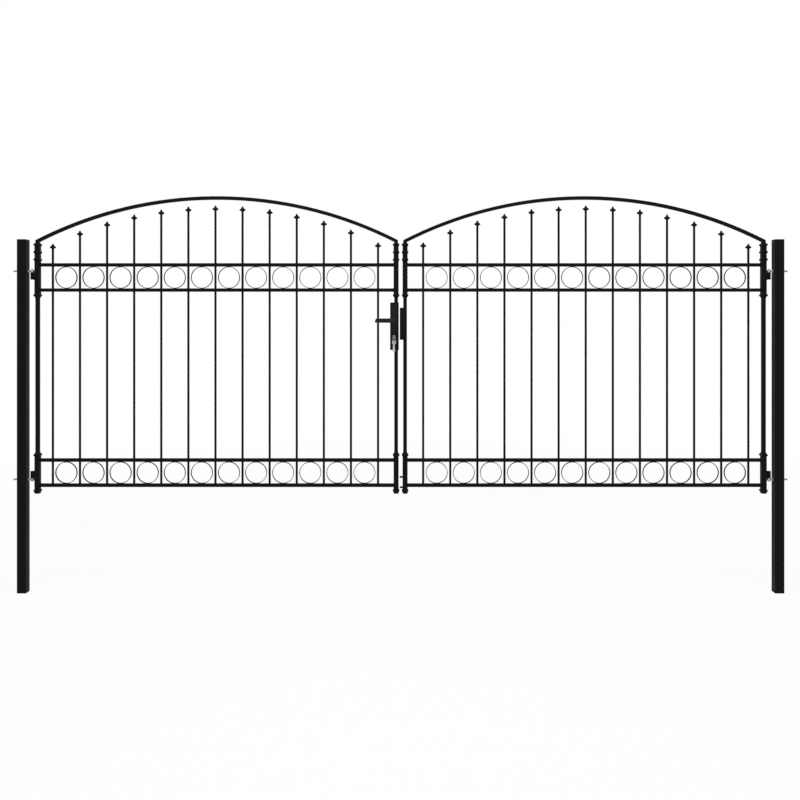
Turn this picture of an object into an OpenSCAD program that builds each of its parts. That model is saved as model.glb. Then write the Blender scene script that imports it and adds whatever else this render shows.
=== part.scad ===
// Arched double gate of welded steel tube between two square posts.
// Each leaf is a frame with an arched top, round bars with spear tips and two bands of rings.
// The leaves turn on eye bolts in the posts, and the left one carries a lever lock.
// Origin: middle of the left post's foot. X runs along the gate, Y away from its front, Z up.

/* [Posts] */
// Clear width between the two posts
opening_w = 4000; // [3000:10:5000]
// Outer width of a square post
post_size = 50; // [40:1:80]
// Wall of a post
post_wall = 2; // [1.5:0.5:4]
// Outer corner radius of a post
post_corner_r = 3; // [2.5:0.5:6]
// Length of a post's tube above the top rail's centre line, without its cap
post_above_rail = 128; // [84:1:344]
// Height of a cap's head above the tube
cap_head = 8; // [5:0.5:20]
// Bevel round the top of a cap
cap_bevel = 1.5; // [0.5:0.5:3]
// Depth of a cap's plug in the tube
cap_plug = 18; // [10:1:40]
// Wall of a cap's plug
cap_wall = 2; // [1:0.5:4]

/* [Leaf frames] */
// Distance from the bottom rail's centre line down to the leaves' feet
foot_below_rail = 44; // [40:1:94]
// Gap between the two meeting stiles
meeting_gap = 28; // [22:1:60]
// Outer width of a stile
stile_size = 20; // [16:1:24]
// Wall of a stile
stile_wall = 1.5; // [1:0.25:3]
// Outer corner radius of a stile
stile_corner_r = 2; // [1:0.5:3]
// Distance from the top rail's centre line up to where the arch's meets the stiles
spring_above_rail = 128; // [94:1:244]
// Rise of the arch's centre line above its springing
arch_rise = 231; // [100:1:400]
// Outer width of the arch's tube
arch_size = 18; // [16:1:22]
// Wall of the arch's tube
arch_wall = 1.5; // [1:0.25:3]
// Outer corner radius of the arch's and the rails' tube
tube_corner_r = 1.5; // [1:0.5:3]

/* [Rails] */
// Outer width of a rail
rail_size = 18; // [14:1:20]
// Wall of a rail
rail_wall = 1.5; // [1:0.25:3]
// Height of the bottom rail's centre line
bottom_rail_h = 574; // [566:1:640]
// Height of the top rail's centre line
top_rail_h = 1756; // [1700:1:1800]
// Distance between the two rails that hold a band of rings
ring_band = 135; // [115:1:160]

/* [Bars and rings] */
// Diameter of a bar
bar_d = 12; // [8:1:14]
// Distance from the hinge stile's centre line to the nearest bar
bar_inset = 81; // [60:1:120]
// Distance from the meeting stile's centre line to the nearest bar
meeting_bar_inset = 97; // [60:1:120]
// Distance from the arch's centre line to the spears' points
tip_to_arch = 40; // [30:1:120]
// How much lower the outermost spears stand
end_tip_drop = 9; // [0:1:20]
// Height of a spear tip
tip_height = 34; // [28:1:50]
// Width of a spear tip across its arms
tip_width = 34; // [30:1:46]
// Thickness of a spear tip from front to back
tip_thickness = 14; // [10:1:18]
// Radius of a spear tip's rounded arms
tip_arm_r = 5; // [3:0.5:6]
// Half width of a spear's nose under its rounded point
tip_nose = 4; // [2:0.25:5]
// Radius of a spear's rounded point
tip_point_r = 5.5; // [5:0.25:7]
// Length of the round neck under a spear tip
tip_neck = 3; // [2:0.5:6]
// Thickness of a ring's strip
ring_strip = 3; // [2:0.5:6]
// Depth of a ring from front to back
ring_depth = 10; // [6:1:16]
// Least room between a ring and the bars on both sides together
ring_room = 8; // [4:1:14]

/* [Sleeves] */
// Outer width of the sleeves on the stiles
sleeve_size = 27; // [22:1:30]
// How far a collar stands proud of its sleeve
collar_proud = 4.5; // [3:0.5:6]
// Height of a collar
collar_height = 13; // [10:1:16]
// Distance from a rail's centre line to the nearest collar's
collar_from_rail = 28; // [22:1:30]
// How far a sleeve runs past the centre line of the ring band's inner rail
sleeve_overrun = 42; // [38:1:60]
// Distance from the arch's springing down to the upper sleeves' tops
sleeve_below_spring = 12; // [10:1:20]
// Rim of a sleeve beyond its end collar at the top
sleeve_rim = 2; // [1:0.5:6]
// Length of the taper at a sleeve's free end
sleeve_taper = 7; // [4:1:8]
// Wall left at the tapered end of a sleeve
sleeve_lip = 0.8; // [0.5:0.1:1.5]
// Thickness of the plate that closes a stile's foot
sleeve_foot = 4; // [2:0.5:10]

/* [Hinges] */
// Height of the upper eye bolts below the top rail
upper_eye_down = 34; // [30:1:50]
// Height of the lower eye bolts above the bottom rail
lower_eye_up = 31; // [28:1:45]
// Diameter of a hinge pin
pin_d = 10; // [8:0.5:12]
// Outer diameter of an eye
eye_d = 21; // [19:0.5:26]
// Thickness of an eye along its pin
eye_thickness = 13; // [12:0.5:18]
// How far a pin stands out past its eye
pin_past_eye = 4; // [2:0.5:8]
// Diameter of an eye bolt's shank
bolt_d = 10; // [8:0.5:12]
// Length of an eye bolt beyond the post's outer face
bolt_end = 26; // [16:1:60]
// Width of a nut across its flats
nut_flats = 17; // [15:0.5:22]
// Thickness of a nut
nut_t = 8; // [5:0.5:10]
// Room between a nut and its eye
nut_to_eye = 4; // [3:0.5:8]
// Diameter of the barrel that carries a hinge pin
barrel_d = 19; // [15:0.5:21]
// Height of a hinge barrel
barrel_h = 38; // [25:1:40]
// Thickness of the web between a barrel and its sleeve
web_t = 12; // [8:1:16]
// Size of the hollow flare between a web and its sleeve
flare_size = 9; // [5:0.5:12]

/* [Lock] */
// Width of the lock case along the gate
case_w = 46; // [42:1:60]
// Depth of the lock case from front to back
case_d = 34; // [28:1:44]
// Height of the lock case
case_h = 254; // [250:1:300]
// Distance from the upper sleeve's free end down to the lock case
case_below_sleeve = 25; // [5:1:225]
// How far the lock case stands proud of the stile at the meeting gap
case_proud = 4; // [2:0.5:8]
// Distance from the lock's face to its spindle
lock_backset = 25; // [22:0.5:28]
// Height of the lever's spindle above the case's underside
lever_up = 157; // [150:1:170]
// Distance from the spindle down to the cylinder's plug
cylinder_drop = 87; // [80:1:92]
// Width of a lock plate
plate_w = 28; // [26:1:40]
// Height of a lock plate
plate_h = 236; // [220:1:248]
// Thickness of a lock plate
plate_t = 3; // [2:0.5:5]
// Corner radius of a lock plate
plate_corner_r = 6; // [2:0.5:12]
// Diameter of the rose round the lever's neck
rose_d = 26; // [24:0.5:27]
// Height of the rose above its plate
rose_t = 4; // [2:0.5:8]
// Diameter of the lever's neck
neck_d = 18; // [14:0.5:19]
// Side of the lever's square spindle
spindle_size = 8; // [6:0.5:9]
// Diameter of the spindle's way through the case
spindle_hole_d = 13; // [12.8:0.1:16]
// Length of a lever from its spindle to its tip
lever_length = 104; // [90:1:130]
// Height of a lever's grip at its neck
grip_h = 24; // [20:1:26]
// Height of a lever's grip at its tip
grip_tip_h = 22; // [14:1:24]
// Thickness of a lever's grip
grip_t = 12; // [8:1:16]
// Room for the fingers between a plate and the grip
grip_room = 26; // [22:1:45]
// How far a grip's tip turns back towards the gate
grip_return = 8; // [4:1:12]
// Diameter of the cylinder's round head
cylinder_d = 17; // [16:0.5:18]
// Width of the cylinder's stem
cylinder_stem_w = 10; // [8:0.5:12]
// Overall height of the cylinder's profile
cylinder_h = 33; // [30:0.5:36]
// How far the cylinder stands out past each plate
cylinder_proud = 5; // [2:0.5:10]
// Width of the latch and the dead bolt from front to back
lock_bolt_w = 12; // [8:0.5:16]
// Height of the latch
latch_h = 18; // [14:1:24]
// Distance from the spindle up to the latch
latch_up = 47; // [40:1:60]
// Height of the dead bolt
dead_bolt_h = 28; // [20:1:30]
// Distance from the spindle down to the dead bolt
dead_bolt_down = 52; // [50:1:56]
// Depth of the latch and the dead bolt in the case
lock_bolt_l = 22; // [14:1:24]
// Thickness of a key
key_t = 2.2; // [1.8:0.1:2.6]
// Diameter of a key's round bow
bow_d = 22; // [20:0.5:26]
// Diameter of the hole in a key's bow
bow_hole_d = 8; // [6:0.5:10]
// Length of a key's blade
blade_l = 40; // [26:1:44]
// Width of a key's blade
blade_w = 8; // [6:0.5:8.5]
// Diameter of the key ring through the middle of its wire
key_ring_d = 24; // [20:0.5:32]
// Diameter of the key ring's wire
key_wire_d = 1.8; // [1.4:0.1:2.4]
// Turn of the key ring in the bow of the key that is in the cylinder
ring_turn = 35; // [0:1:40]
// Twist of the hanging key about its ring
key_twist = 35; // [0:1:40]

/* [Keeper and lugs] */
// Height of the keeper
keeper_h = 172; // [150:1:190]
// Height of the keeper's underside above the lock case's
keeper_up = 54; // [44:1:60]
// Wall of the keeper's channel
keeper_wall = 3; // [2:0.5:4]
// How far the keeper laps over its stile
keeper_lap = 12; // [8:1:16]
// Diameter of the stop lugs
lug_d = 10; // [8:0.5:14]
// Height of the upper stop lug above the bottom rail
lug_up = 44; // [36:1:60]
// Distance of the lower stop lug below the bottom rail
lug_down = 11; // [2:0.5:12]

/* [Fits] */
// Room between the leaves, and between a leaf and a post
swing_gap = 5.5; // [5:0.25:10]
// Radial room of a pin or a neck in its hole
pin_clearance = 0.25; // [0.15:0.05:0.5]
// Radial room of a bolt in its hole
bolt_clearance = 0.2; // [0.1:0.05:0.5]
// Room between an eye and the barrel that bears on it
bearing_gap = 0.3; // [0.2:0.05:0.6]
// Room round welded, plugged and seated pieces
seat_clearance = 0.1; // [0.05:0.05:0.3]

/* [Hidden] */
$fn = 96;
arch_fn = 360;
section_fn = 32;

coat = "#1b1b1b";
plastic = "#101010";
zinc = "#b9b7ae";
nickel = "#c4c2ba";

// Places along the gate
gate_mid_x = (post_size + opening_w) / 2;
collar_size = sleeve_size + 2 * collar_proud;
pin_from_post = max(nut_t + nut_to_eye + eye_d / 2, collar_size / 2 + swing_gap);
pin_x = post_size / 2 + pin_from_post;
hinge_stile_x = pin_x + eye_d / 2 + swing_gap + sleeve_size / 2;
meeting_stile_x = gate_mid_x - meeting_gap / 2 - stile_size / 2;
stile_span = meeting_stile_x - hinge_stile_x;
arch_mid_x = (hinge_stile_x + meeting_stile_x) / 2;

// Heights that follow the rails
post_length = top_rail_h + post_above_rail;
leaf_bottom = bottom_rail_h - foot_below_rail;
arch_spring = top_rail_h + spring_above_rail;

// Arch through both springings
arch_radius = (pow(stile_span / 2, 2) + pow(arch_rise, 2)) / (2 * arch_rise);
arch_centre_z = arch_spring + arch_rise - arch_radius;
arch_half_angle = asin(stile_span / 2 / arch_radius);
arch_over_angle = asin(2 * arch_size / arch_radius);
mitre_angle = atan((arch_size / stile_size - sin(arch_half_angle)) / cos(arch_half_angle));
mitre_reach = 6 * max(arch_size, stile_size);

// Heights of the rails, sleeves and hinges
upper_ring_rail_h = top_rail_h - ring_band;
lower_ring_rail_h = bottom_rail_h + ring_band;
sleeve_top = arch_spring - sleeve_below_spring;
upper_sleeve_l = sleeve_top - upper_ring_rail_h + sleeve_overrun;
lower_sleeve_l = lower_ring_rail_h + sleeve_overrun - leaf_bottom;
crown_low = top_rail_h + collar_from_rail;
crown_high = sleeve_top - sleeve_rim - collar_height / 2;
stile_foot = leaf_bottom + sleeve_foot;
upper_eye_h = top_rail_h - upper_eye_down;
lower_eye_h = bottom_rail_h + lower_eye_up;
pin_hole_d = pin_d + 2 * pin_clearance;
bolt_hole_d = bolt_d + 2 * bolt_clearance;

// Bars and rings: as many bars as leave room for a ring in each space
ring_d = ring_band - rail_size - 2 * seat_clearance;
bar_room = stile_span - bar_inset - meeting_bar_inset;
bar_count = 1 + floor(bar_room / (ring_d + bar_d + ring_room));
bar_pitch = bar_room / (bar_count - 1);
bar_hole_d = bar_d + 2 * bolt_clearance;
bar_foot_z = bottom_rail_h - rail_size / 2 + rail_wall;
tip_radius = arch_radius - tip_to_arch;
tip_arm_x = tip_width / 2 - tip_arm_r;
tip_body_h = tip_height - tip_neck;
tip_side_r = tip_width / 2;
tip_under_r = tip_arm_x - bar_d / 2;
tip_arm_z = tip_under_r + tip_arm_r + 0.5;

// Lock
case_face_x = meeting_stile_x + stile_size / 2 + case_proud;
case_top = upper_ring_rail_h - sleeve_overrun - case_below_sleeve;
case_bottom = case_top - case_h;
spindle_x = case_face_x - lock_backset;
lever_z = case_bottom + lever_up;
cylinder_z = lever_z - cylinder_drop;
plate_face_y = case_d / 2 + plate_t;
rose_face_y = plate_face_y + rose_t;
grip_back_y = plate_face_y + grip_room;
grip_face_y = grip_back_y + grip_t;
neck_hole_d = neck_d + 2 * pin_clearance;
cylinder_face_y = plate_face_y + cylinder_proud;
latch_z = lever_z + latch_up;
dead_bolt_z = lever_z - dead_bolt_down;
key_slot_t = key_t + 2 * bolt_clearance;
key_slot_w = blade_w + 2 * bolt_clearance;
key_seat_l = cylinder_proud + plate_t;
bow_y = -cylinder_face_y - bow_d / 2;
key_gap = 0.3;
key_ring_z = cylinder_z - bow_hole_d / 2 + key_wire_d / 2 + key_gap - key_ring_d / 2;
hanging_bow_z = key_ring_z - key_ring_d / 2 + key_wire_d / 2 + key_gap - bow_hole_d / 2;
keeper_face_x = case_face_x + swing_gap;

function bar_x(i) = hinge_stile_x + bar_inset + i * bar_pitch;
function tip_drop(i) = i == 0 || i == bar_count - 1 ? end_tip_drop : 0;
function tip_point_z(i) =
    arch_centre_z + sqrt(pow(tip_radius, 2) - pow(bar_x(i) - arch_mid_x, 2)) - tip_drop(i);

// Turns a flat outline upright, as seen from the front, and gives it depth along Y
module front_extrude(depth) {
    rotate([90, 0, 0]) linear_extrude(depth, center = true) children();
}

// Turns a flat outline upright, as seen from the side, and gives it width along X
module side_extrude(width) {
    rotate([90, 0, 90]) linear_extrude(width, center = true) children();
}

// Puts a left-hand piece in its place on the right
module other_side() {
    translate([2 * gate_mid_x, 0, 0]) mirror([1, 0, 0]) children();
}

// Puts a piece of a leaf's hinge end at its meeting end
module other_end() {
    translate([2 * arch_mid_x, 0, 0]) mirror([1, 0, 0]) children();
}

module rounded_rectangle(width, height, r) {
    square([width - 2 * r, height], center = true);
    square([width, height - 2 * r], center = true);
    for (x = [-1, 1], y = [-1, 1])
        translate([x * (width / 2 - r), y * (height / 2 - r)]) circle(r = r);
}

module tube_section(size, wall, r) {
    inner = size - 2 * wall;
    inner_r = max(r - wall, 0.5);
    difference() {
        rounded_rectangle(size, size, r);
        rounded_rectangle(inner, inner, inner_r);
    }
}

// Posts

module post() {
    difference() {
        linear_extrude(post_length) tube_section(post_size, post_wall, post_corner_r);
        for (h = [lower_eye_h, upper_eye_h])
            translate([0, 0, h]) rotate([0, 90, 0]) cylinder(d = bolt_hole_d, h = 2 * post_size, center = true);
    }
}

module cap_outline() {
    half = post_size / 2;
    polygon([
        [-half, 0], [half, 0], [half, cap_head - cap_bevel], [half - cap_bevel, cap_head],
        [cap_bevel - half, cap_head], [-half, cap_head - cap_bevel]
    ]);
}

module post_cap() {
    plug = post_size - 2 * post_wall - 2 * seat_clearance;
    plug_r = max(post_corner_r - post_wall, 0.5) + seat_clearance;
    translate([0, 0, post_length]) {
        intersection() {
            linear_extrude(cap_head) rounded_rectangle(post_size, post_size, post_corner_r);
            front_extrude(2 * post_size) cap_outline();
            side_extrude(2 * post_size) cap_outline();
        }
        translate([0, 0, -cap_plug]) linear_extrude(cap_plug) difference() {
            rounded_rectangle(plug, plug, plug_r);
            square(plug - 2 * cap_wall, center = true);
        }
    }
}

// Threaded shank through the post, with a forged eye for the hinge pin
module eye_bolt(h) {
    translate([0, 0, h]) difference() {
        union() {
            translate([pin_x, 0, 0]) cylinder(d = eye_d, h = eye_thickness, center = true);
            translate([-post_size / 2 - bolt_end, 0, 0]) rotate([0, 90, 0])
                cylinder(d = bolt_d, h = post_size / 2 + bolt_end + pin_x);
        }
        translate([pin_x, 0, 0]) cylinder(d = pin_hole_d, h = 2 * eye_thickness, center = true);
    }
}

module eye_bolts() {
    for (h = [lower_eye_h, upper_eye_h]) eye_bolt(h);
}

module hinge_nut(x, h) {
    translate([x, 0, h]) rotate([0, 90, 0]) difference() {
        cylinder(d = nut_flats / cos(30), h = nut_t, center = true, $fn = 6);
        cylinder(d = bolt_hole_d, h = 2 * nut_t, center = true);
    }
}

module hinge_nuts() {
    for (h = [lower_eye_h, upper_eye_h], side = [-1, 1])
        hinge_nut(side * (post_size + nut_t) / 2, h);
}

// Leaf frame

// Block on one side of the joint plane between the hinge stile and the arch
module mitre_block(above) {
    drop = above ? 0 : -mitre_reach;
    translate([hinge_stile_x, 0, arch_spring]) rotate([0, mitre_angle, 0])
        translate([-mitre_reach / 2, -mitre_reach / 2, drop]) cube(mitre_reach);
}

module stile_length(low, high) {
    translate([hinge_stile_x, 0, low]) linear_extrude(high - low)
        tube_section(stile_size, stile_wall, stile_corner_r);
}

module hinge_stile() {
    difference() {
        stile_length(stile_foot, arch_spring + stile_size);
        mitre_block(true);
    }
}

// The stile of the leaf with the lock stops under the lock case and goes on above it
module locked_stile() {
    other_end() {
        stile_length(stile_foot, case_bottom);
        difference() {
            stile_length(case_top, arch_spring + stile_size);
            mitre_block(true);
        }
    }
}

module arch() {
    sweep = arch_half_angle + arch_over_angle;
    difference() {
        translate([arch_mid_x, 0, arch_centre_z]) rotate([90, 0, 0]) rotate([0, 0, 90 - sweep])
            rotate_extrude(angle = 2 * sweep, $fn = arch_fn) translate([arch_radius, 0])
                tube_section(arch_size, arch_wall, tube_corner_r, $fn = section_fn);
        mitre_block(false);
        other_end() mitre_block(false);
    }
}

// Square tube between the sleeves, with a hole for each bar
module rail(h, through) {
    hole_low = through ? -rail_size : 0;
    difference() {
        translate([arch_mid_x, 0, h]) side_extrude(stile_span - sleeve_size)
            tube_section(rail_size, rail_wall, tube_corner_r);
        for (i = [0 : bar_count - 1])
            translate([bar_x(i), 0, h + hole_low]) cylinder(d = bar_hole_d, h = rail_size - hole_low);
    }
}

// Bars, spear tips and rings

module bars() {
    for (i = [0 : bar_count - 1])
        translate([bar_x(i), 0, bar_foot_z]) cylinder(d = bar_d, h = tip_point_z(i) - tip_height - bar_foot_z);
}

// Front outline of a spear: rounded point, hollow sides, round arms, hollow undersides
module tip_outline() {
    point_z = tip_body_h - tip_point_r;
    difference() {
        union() {
            translate([-tip_arm_x, 0]) square([2 * tip_arm_x, point_z]);
            translate([0, point_z]) circle(r = tip_point_r);
            for (side = [-1, 1]) translate([side * tip_arm_x, tip_arm_z]) circle(r = tip_arm_r);
        }
        for (side = [-1, 1]) {
            translate([side * (tip_nose + tip_side_r), tip_body_h]) circle(r = tip_side_r);
            translate([side * tip_arm_x, 0]) circle(r = tip_under_r);
        }
    }
}

module tip_profile() {
    half = tip_thickness / 2;
    foot = bar_d / 3;
    polygon([
        [-foot, 0], [foot, 0], [half, tip_arm_z], [tip_nose / 2, tip_body_h],
        [-tip_nose / 2, tip_body_h], [-half, tip_arm_z]
    ]);
}

module spear_tip() {
    cylinder(d = bar_d, h = tip_neck);
    translate([0, 0, tip_neck]) intersection() {
        front_extrude(tip_thickness) tip_outline();
        side_extrude(2 * tip_width) tip_profile();
    }
}

module spear_tips() {
    for (i = [0 : bar_count - 1]) translate([bar_x(i), 0, tip_point_z(i) - tip_height]) spear_tip();
}

module ring_row(h) {
    for (i = [0 : bar_count - 2])
        translate([bar_x(i) + bar_pitch / 2, 0, h]) front_extrude(ring_depth) difference() {
            circle(d = ring_d);
            circle(d = ring_d - 2 * ring_strip);
        }
}

// Sleeves

// Outline of a sleeve that stands on its plain end and tapers at the other, with round collars
module sleeve_outline(length, collars) {
    half = sleeve_size / 2;
    lip = stile_size / 2 + seat_clearance + sleeve_lip;
    bead_r = (pow(collar_height / 2, 2) + pow(collar_proud, 2)) / (2 * collar_proud);
    polygon([
        [-half, 0], [half, 0], [half, length - sleeve_taper], [lip, length],
        [-lip, length], [-half, length - sleeve_taper]
    ]);
    for (z = collars, side = [-1, 1])
        translate([side * (half + collar_proud - bead_r), z]) circle(r = bead_r);
}

// Square sleeve: the same outline seen from the front and from the side
module sleeve(length, collars, foot) {
    difference() {
        intersection() {
            front_extrude(2 * collar_size) sleeve_outline(length, collars);
            side_extrude(2 * collar_size) sleeve_outline(length, collars);
        }
        translate([0, 0, foot]) linear_extrude(2 * length)
            square(stile_size + 2 * seat_clearance, center = true);
    }
}

module sleeve_pair() {
    crown_collars = [crown_low, (crown_low + crown_high) / 2, crown_high];
    low_collar = upper_ring_rail_h - collar_from_rail;
    foot_collars = [bottom_rail_h - collar_from_rail, lower_ring_rail_h + collar_from_rail];
    translate([hinge_stile_x, 0, sleeve_top]) mirror([0, 0, 1])
        sleeve(upper_sleeve_l, [for (z = concat(crown_collars, [low_collar])) sleeve_top - z], -1);
    translate([hinge_stile_x, 0, leaf_bottom])
        sleeve(lower_sleeve_l, [for (z = foot_collars) z - leaf_bottom], sleeve_foot);
}

// Hinges on the leaf

// Barrel with its pin through the eye, its web to the sleeve and a hollow flare away from the eye
module hinge_barrel() {
    web_l = hinge_stile_x - sleeve_size / 2 - pin_x;
    barrel_top = -eye_thickness / 2 - bearing_gap;
    barrel_foot = barrel_top - barrel_h;
    flare_lip = 0.6;
    translate([0, 0, barrel_foot]) cylinder(d = barrel_d, h = barrel_h);
    translate([0, 0, barrel_foot]) cylinder(d = pin_d, h = eye_thickness / 2 + pin_past_eye - barrel_foot);
    translate([0, -web_t / 2, barrel_foot]) cube([web_l, web_t, barrel_h]);
    translate([web_l - flare_size, 0, barrel_foot - flare_size]) front_extrude(web_t) difference() {
        square(flare_size);
        translate([-flare_lip, -flare_lip]) circle(r = flare_size);
    }
}

// The upper pin points up and the lower one down, so that the leaf can't be lifted off
module hinge_barrels() {
    translate([pin_x, 0, upper_eye_h]) hinge_barrel();
    translate([pin_x, 0, lower_eye_h]) mirror([0, 0, 1]) hinge_barrel();
}

// Lock

module cylinder_profile(room) {
    stem_drop = cylinder_h - cylinder_d / 2 - cylinder_stem_w / 2;
    stem_w = cylinder_stem_w + 2 * room;
    circle(d = cylinder_d + 2 * room);
    translate([-stem_w / 2, -stem_drop]) square([stem_w, stem_drop]);
    translate([0, -stem_drop]) circle(d = stem_w);
}

// Slot in the lock's face for the latch or the dead bolt
module lock_bolt_slot(z, height) {
    width = lock_bolt_w + 2 * bolt_clearance;
    tall = height + 2 * bolt_clearance;
    translate([case_face_x - lock_bolt_l, -width / 2, z - tall / 2]) cube([2 * lock_bolt_l, width, tall]);
}

module case_body() {
    difference() {
        translate([case_face_x - case_w, -case_d / 2, case_bottom]) cube([case_w, case_d, case_h]);
        translate([spindle_x, 0, lever_z]) rotate([90, 0, 0])
            cylinder(d = spindle_hole_d, h = 2 * case_d, center = true);
        translate([spindle_x, 0, cylinder_z]) front_extrude(2 * case_d) cylinder_profile(bolt_clearance);
        lock_bolt_slot(latch_z, latch_h);
        lock_bolt_slot(dead_bolt_z, dead_bolt_h);
    }
}

module plate_outline() {
    difference() {
        translate([0, case_bottom + case_h / 2 - lever_z]) rounded_rectangle(plate_w, plate_h, plate_corner_r);
        circle(d = neck_hole_d);
        translate([0, -cylinder_drop]) cylinder_profile(bolt_clearance);
    }
}

module lock_plate() {
    translate([spindle_x, 0, lever_z]) {
        translate([0, -case_d / 2 - plate_t / 2, 0]) front_extrude(plate_t) plate_outline();
        translate([0, -plate_face_y - rose_t / 2, 0]) front_extrude(rose_t) difference() {
            circle(d = rose_d);
            circle(d = neck_hole_d);
        }
    }
}

// Latch with a bevelled nose and dead bolt, both drawn back level with the lock's face
module drawn_bolts() {
    inner_x = case_face_x - lock_bolt_l;
    half = lock_bolt_w / 2;
    translate([0, 0, latch_z - latch_h / 2]) linear_extrude(latch_h) polygon([
        [inner_x, -half], [case_face_x, -half], [case_face_x - lock_bolt_w, half], [inner_x, half]
    ]);
    translate([inner_x, -half, dead_bolt_z - dead_bolt_h / 2]) cube([lock_bolt_l, lock_bolt_w, dead_bolt_h]);
}

module profile_cylinder() {
    translate([spindle_x, 0, cylinder_z]) difference() {
        front_extrude(2 * cylinder_face_y) cylinder_profile(0);
        translate([-key_slot_t / 2, -cylinder_face_y - key_seat_l, -key_slot_w / 2])
            cube([key_slot_t, 2 * key_seat_l, key_slot_w]);
    }
}

// Flat key in the plane of Y and Z, with its bow's hole at the origin and its blade along +Y
module key(blade) {
    side_extrude(key_t) difference() {
        union() {
            circle(d = bow_d);
            translate([0, -blade_w / 2]) square([bow_d / 2 + blade, blade_w]);
        }
        circle(d = bow_hole_d);
    }
}

// One key in the cylinder, a ring through its bow, and a second key that hangs from the ring
module keys() {
    translate([spindle_x, bow_y, cylinder_z]) key(key_seat_l - key_gap);
    translate([spindle_x, bow_y, key_ring_z]) rotate([90, 0, ring_turn])
        rotate_extrude() translate([key_ring_d / 2, 0]) circle(d = key_wire_d);
    translate([spindle_x, bow_y, hanging_bow_z]) rotate([-90, 0, ring_turn + key_twist]) key(blade_l);
}

// Front outline of a grip, from the spindle to the slanted tip
module grip_outline() {
    slant = grip_tip_h / 3;
    polygon([
        [0, -grip_h / 2], [0, grip_h / 2], [-lever_length + slant, grip_tip_h / 2],
        [-lever_length, -grip_tip_h / 2]
    ]);
    circle(d = grip_h);
}

// Top outline of the front grip: straight along the gate, with its tip turned back
module grip_plan() {
    tip_x = -lever_length;
    bend_x = tip_x + grip_t + grip_return;
    polygon([
        [grip_h, -grip_face_y], [grip_h, -grip_back_y], [bend_x, -grip_back_y],
        [tip_x + grip_t, grip_return - grip_back_y], [tip_x, grip_return - grip_back_y],
        [tip_x, grip_return / 2 - grip_face_y], [tip_x + grip_return, -grip_face_y]
    ]);
}

// One lever: neck through the rose, and grip
module lever() {
    neck_l = grip_back_y - case_d / 2 - bearing_gap + grip_t / 2;
    translate([0, -grip_back_y - grip_t / 2 + neck_l / 2, 0]) rotate([90, 0, 0])
        cylinder(d = neck_d, h = neck_l, center = true);
    intersection() {
        front_extrude(4 * grip_face_y) grip_outline();
        translate([0, 0, -grip_h]) linear_extrude(2 * grip_h) grip_plan();
    }
}

// Front and back levers on one square spindle
module lever_pair() {
    translate([spindle_x, 0, lever_z]) {
        lever();
        mirror([0, 1, 0]) lever();
        cube([spindle_size, 2 * grip_back_y, spindle_size], center = true);
    }
}

// Keeper and lugs

// Channel over the right meeting stile, with an opening for the latch and one for the dead bolt
module keeper() {
    stile_face_x = 2 * gate_mid_x - meeting_stile_x - stile_size / 2;
    width = stile_size + 2 * keeper_wall;
    channel_l = stile_face_x + keeper_lap - keeper_face_x;
    difference() {
        translate([keeper_face_x, -width / 2, case_bottom + keeper_up]) cube([channel_l, width, keeper_h]);
        translate([keeper_face_x + keeper_wall, -stile_size / 2, case_bottom])
            cube([channel_l, stile_size, 2 * keeper_h]);
        for (bolt = [[latch_z, latch_h], [dead_bolt_z, dead_bolt_h]])
            translate([keeper_face_x, 0, bolt[0]])
                cube([3 * keeper_wall, lock_bolt_w + 2, bolt[1] + 2], center = true);
    }
}

// Round lugs on the right leaf's lower meeting sleeve, just short of the left leaf's
module lugs() {
    left_sleeve_x = meeting_stile_x + sleeve_size / 2;
    lug_x = left_sleeve_x + swing_gap;
    lug_l = 2 * gate_mid_x - left_sleeve_x - lug_x;
    for (z = [bottom_rail_h + lug_up, bottom_rail_h - lug_down])
        translate([lug_x, 0, z]) rotate([0, 90, 0]) cylinder(d = lug_d, h = lug_l);
}

// Sub-parts

module left_post() color(coat) post();
module right_post() color(coat) other_side() post();
module left_post_cap() color(plastic) post_cap();
module right_post_cap() color(plastic) other_side() post_cap();
module left_eye_bolts() color(zinc) eye_bolts();
module right_eye_bolts() color(zinc) other_side() eye_bolts();
module left_hinge_nuts() color(zinc) hinge_nuts();
module right_hinge_nuts() color(zinc) other_side() hinge_nuts();
module left_hinge_stile() color(coat) hinge_stile();
module right_hinge_stile() color(coat) other_side() hinge_stile();
module left_meeting_stile() color(coat) locked_stile();
module right_meeting_stile() color(coat) other_side() other_end() hinge_stile();
module left_arch() color(coat) arch();
module right_arch() color(coat) other_side() arch();
module left_top_rail() color(coat) rail(top_rail_h, true);
module right_top_rail() color(coat) other_side() rail(top_rail_h, true);
module left_upper_ring_rail() color(coat) rail(upper_ring_rail_h, true);
module right_upper_ring_rail() color(coat) other_side() rail(upper_ring_rail_h, true);
module left_lower_ring_rail() color(coat) rail(lower_ring_rail_h, true);
module right_lower_ring_rail() color(coat) other_side() rail(lower_ring_rail_h, true);
module left_bottom_rail() color(coat) rail(bottom_rail_h, false);
module right_bottom_rail() color(coat) other_side() rail(bottom_rail_h, false);
module left_bars() color(coat) bars();
module right_bars() color(coat) other_side() bars();
module left_spear_tips() color(coat) spear_tips();
module right_spear_tips() color(coat) other_side() spear_tips();
module left_upper_rings() color(coat) ring_row(top_rail_h - ring_band / 2);
module right_upper_rings() color(coat) other_side() ring_row(top_rail_h - ring_band / 2);
module left_lower_rings() color(coat) ring_row(bottom_rail_h + ring_band / 2);
module right_lower_rings() color(coat) other_side() ring_row(bottom_rail_h + ring_band / 2);
module left_hinge_sleeves() color(coat) sleeve_pair();
module right_hinge_sleeves() color(coat) other_side() sleeve_pair();
module left_meeting_sleeves() color(coat) other_end() sleeve_pair();
module right_meeting_sleeves() color(coat) other_side() other_end() sleeve_pair();
module left_hinge_barrels() color(coat) hinge_barrels();
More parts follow.
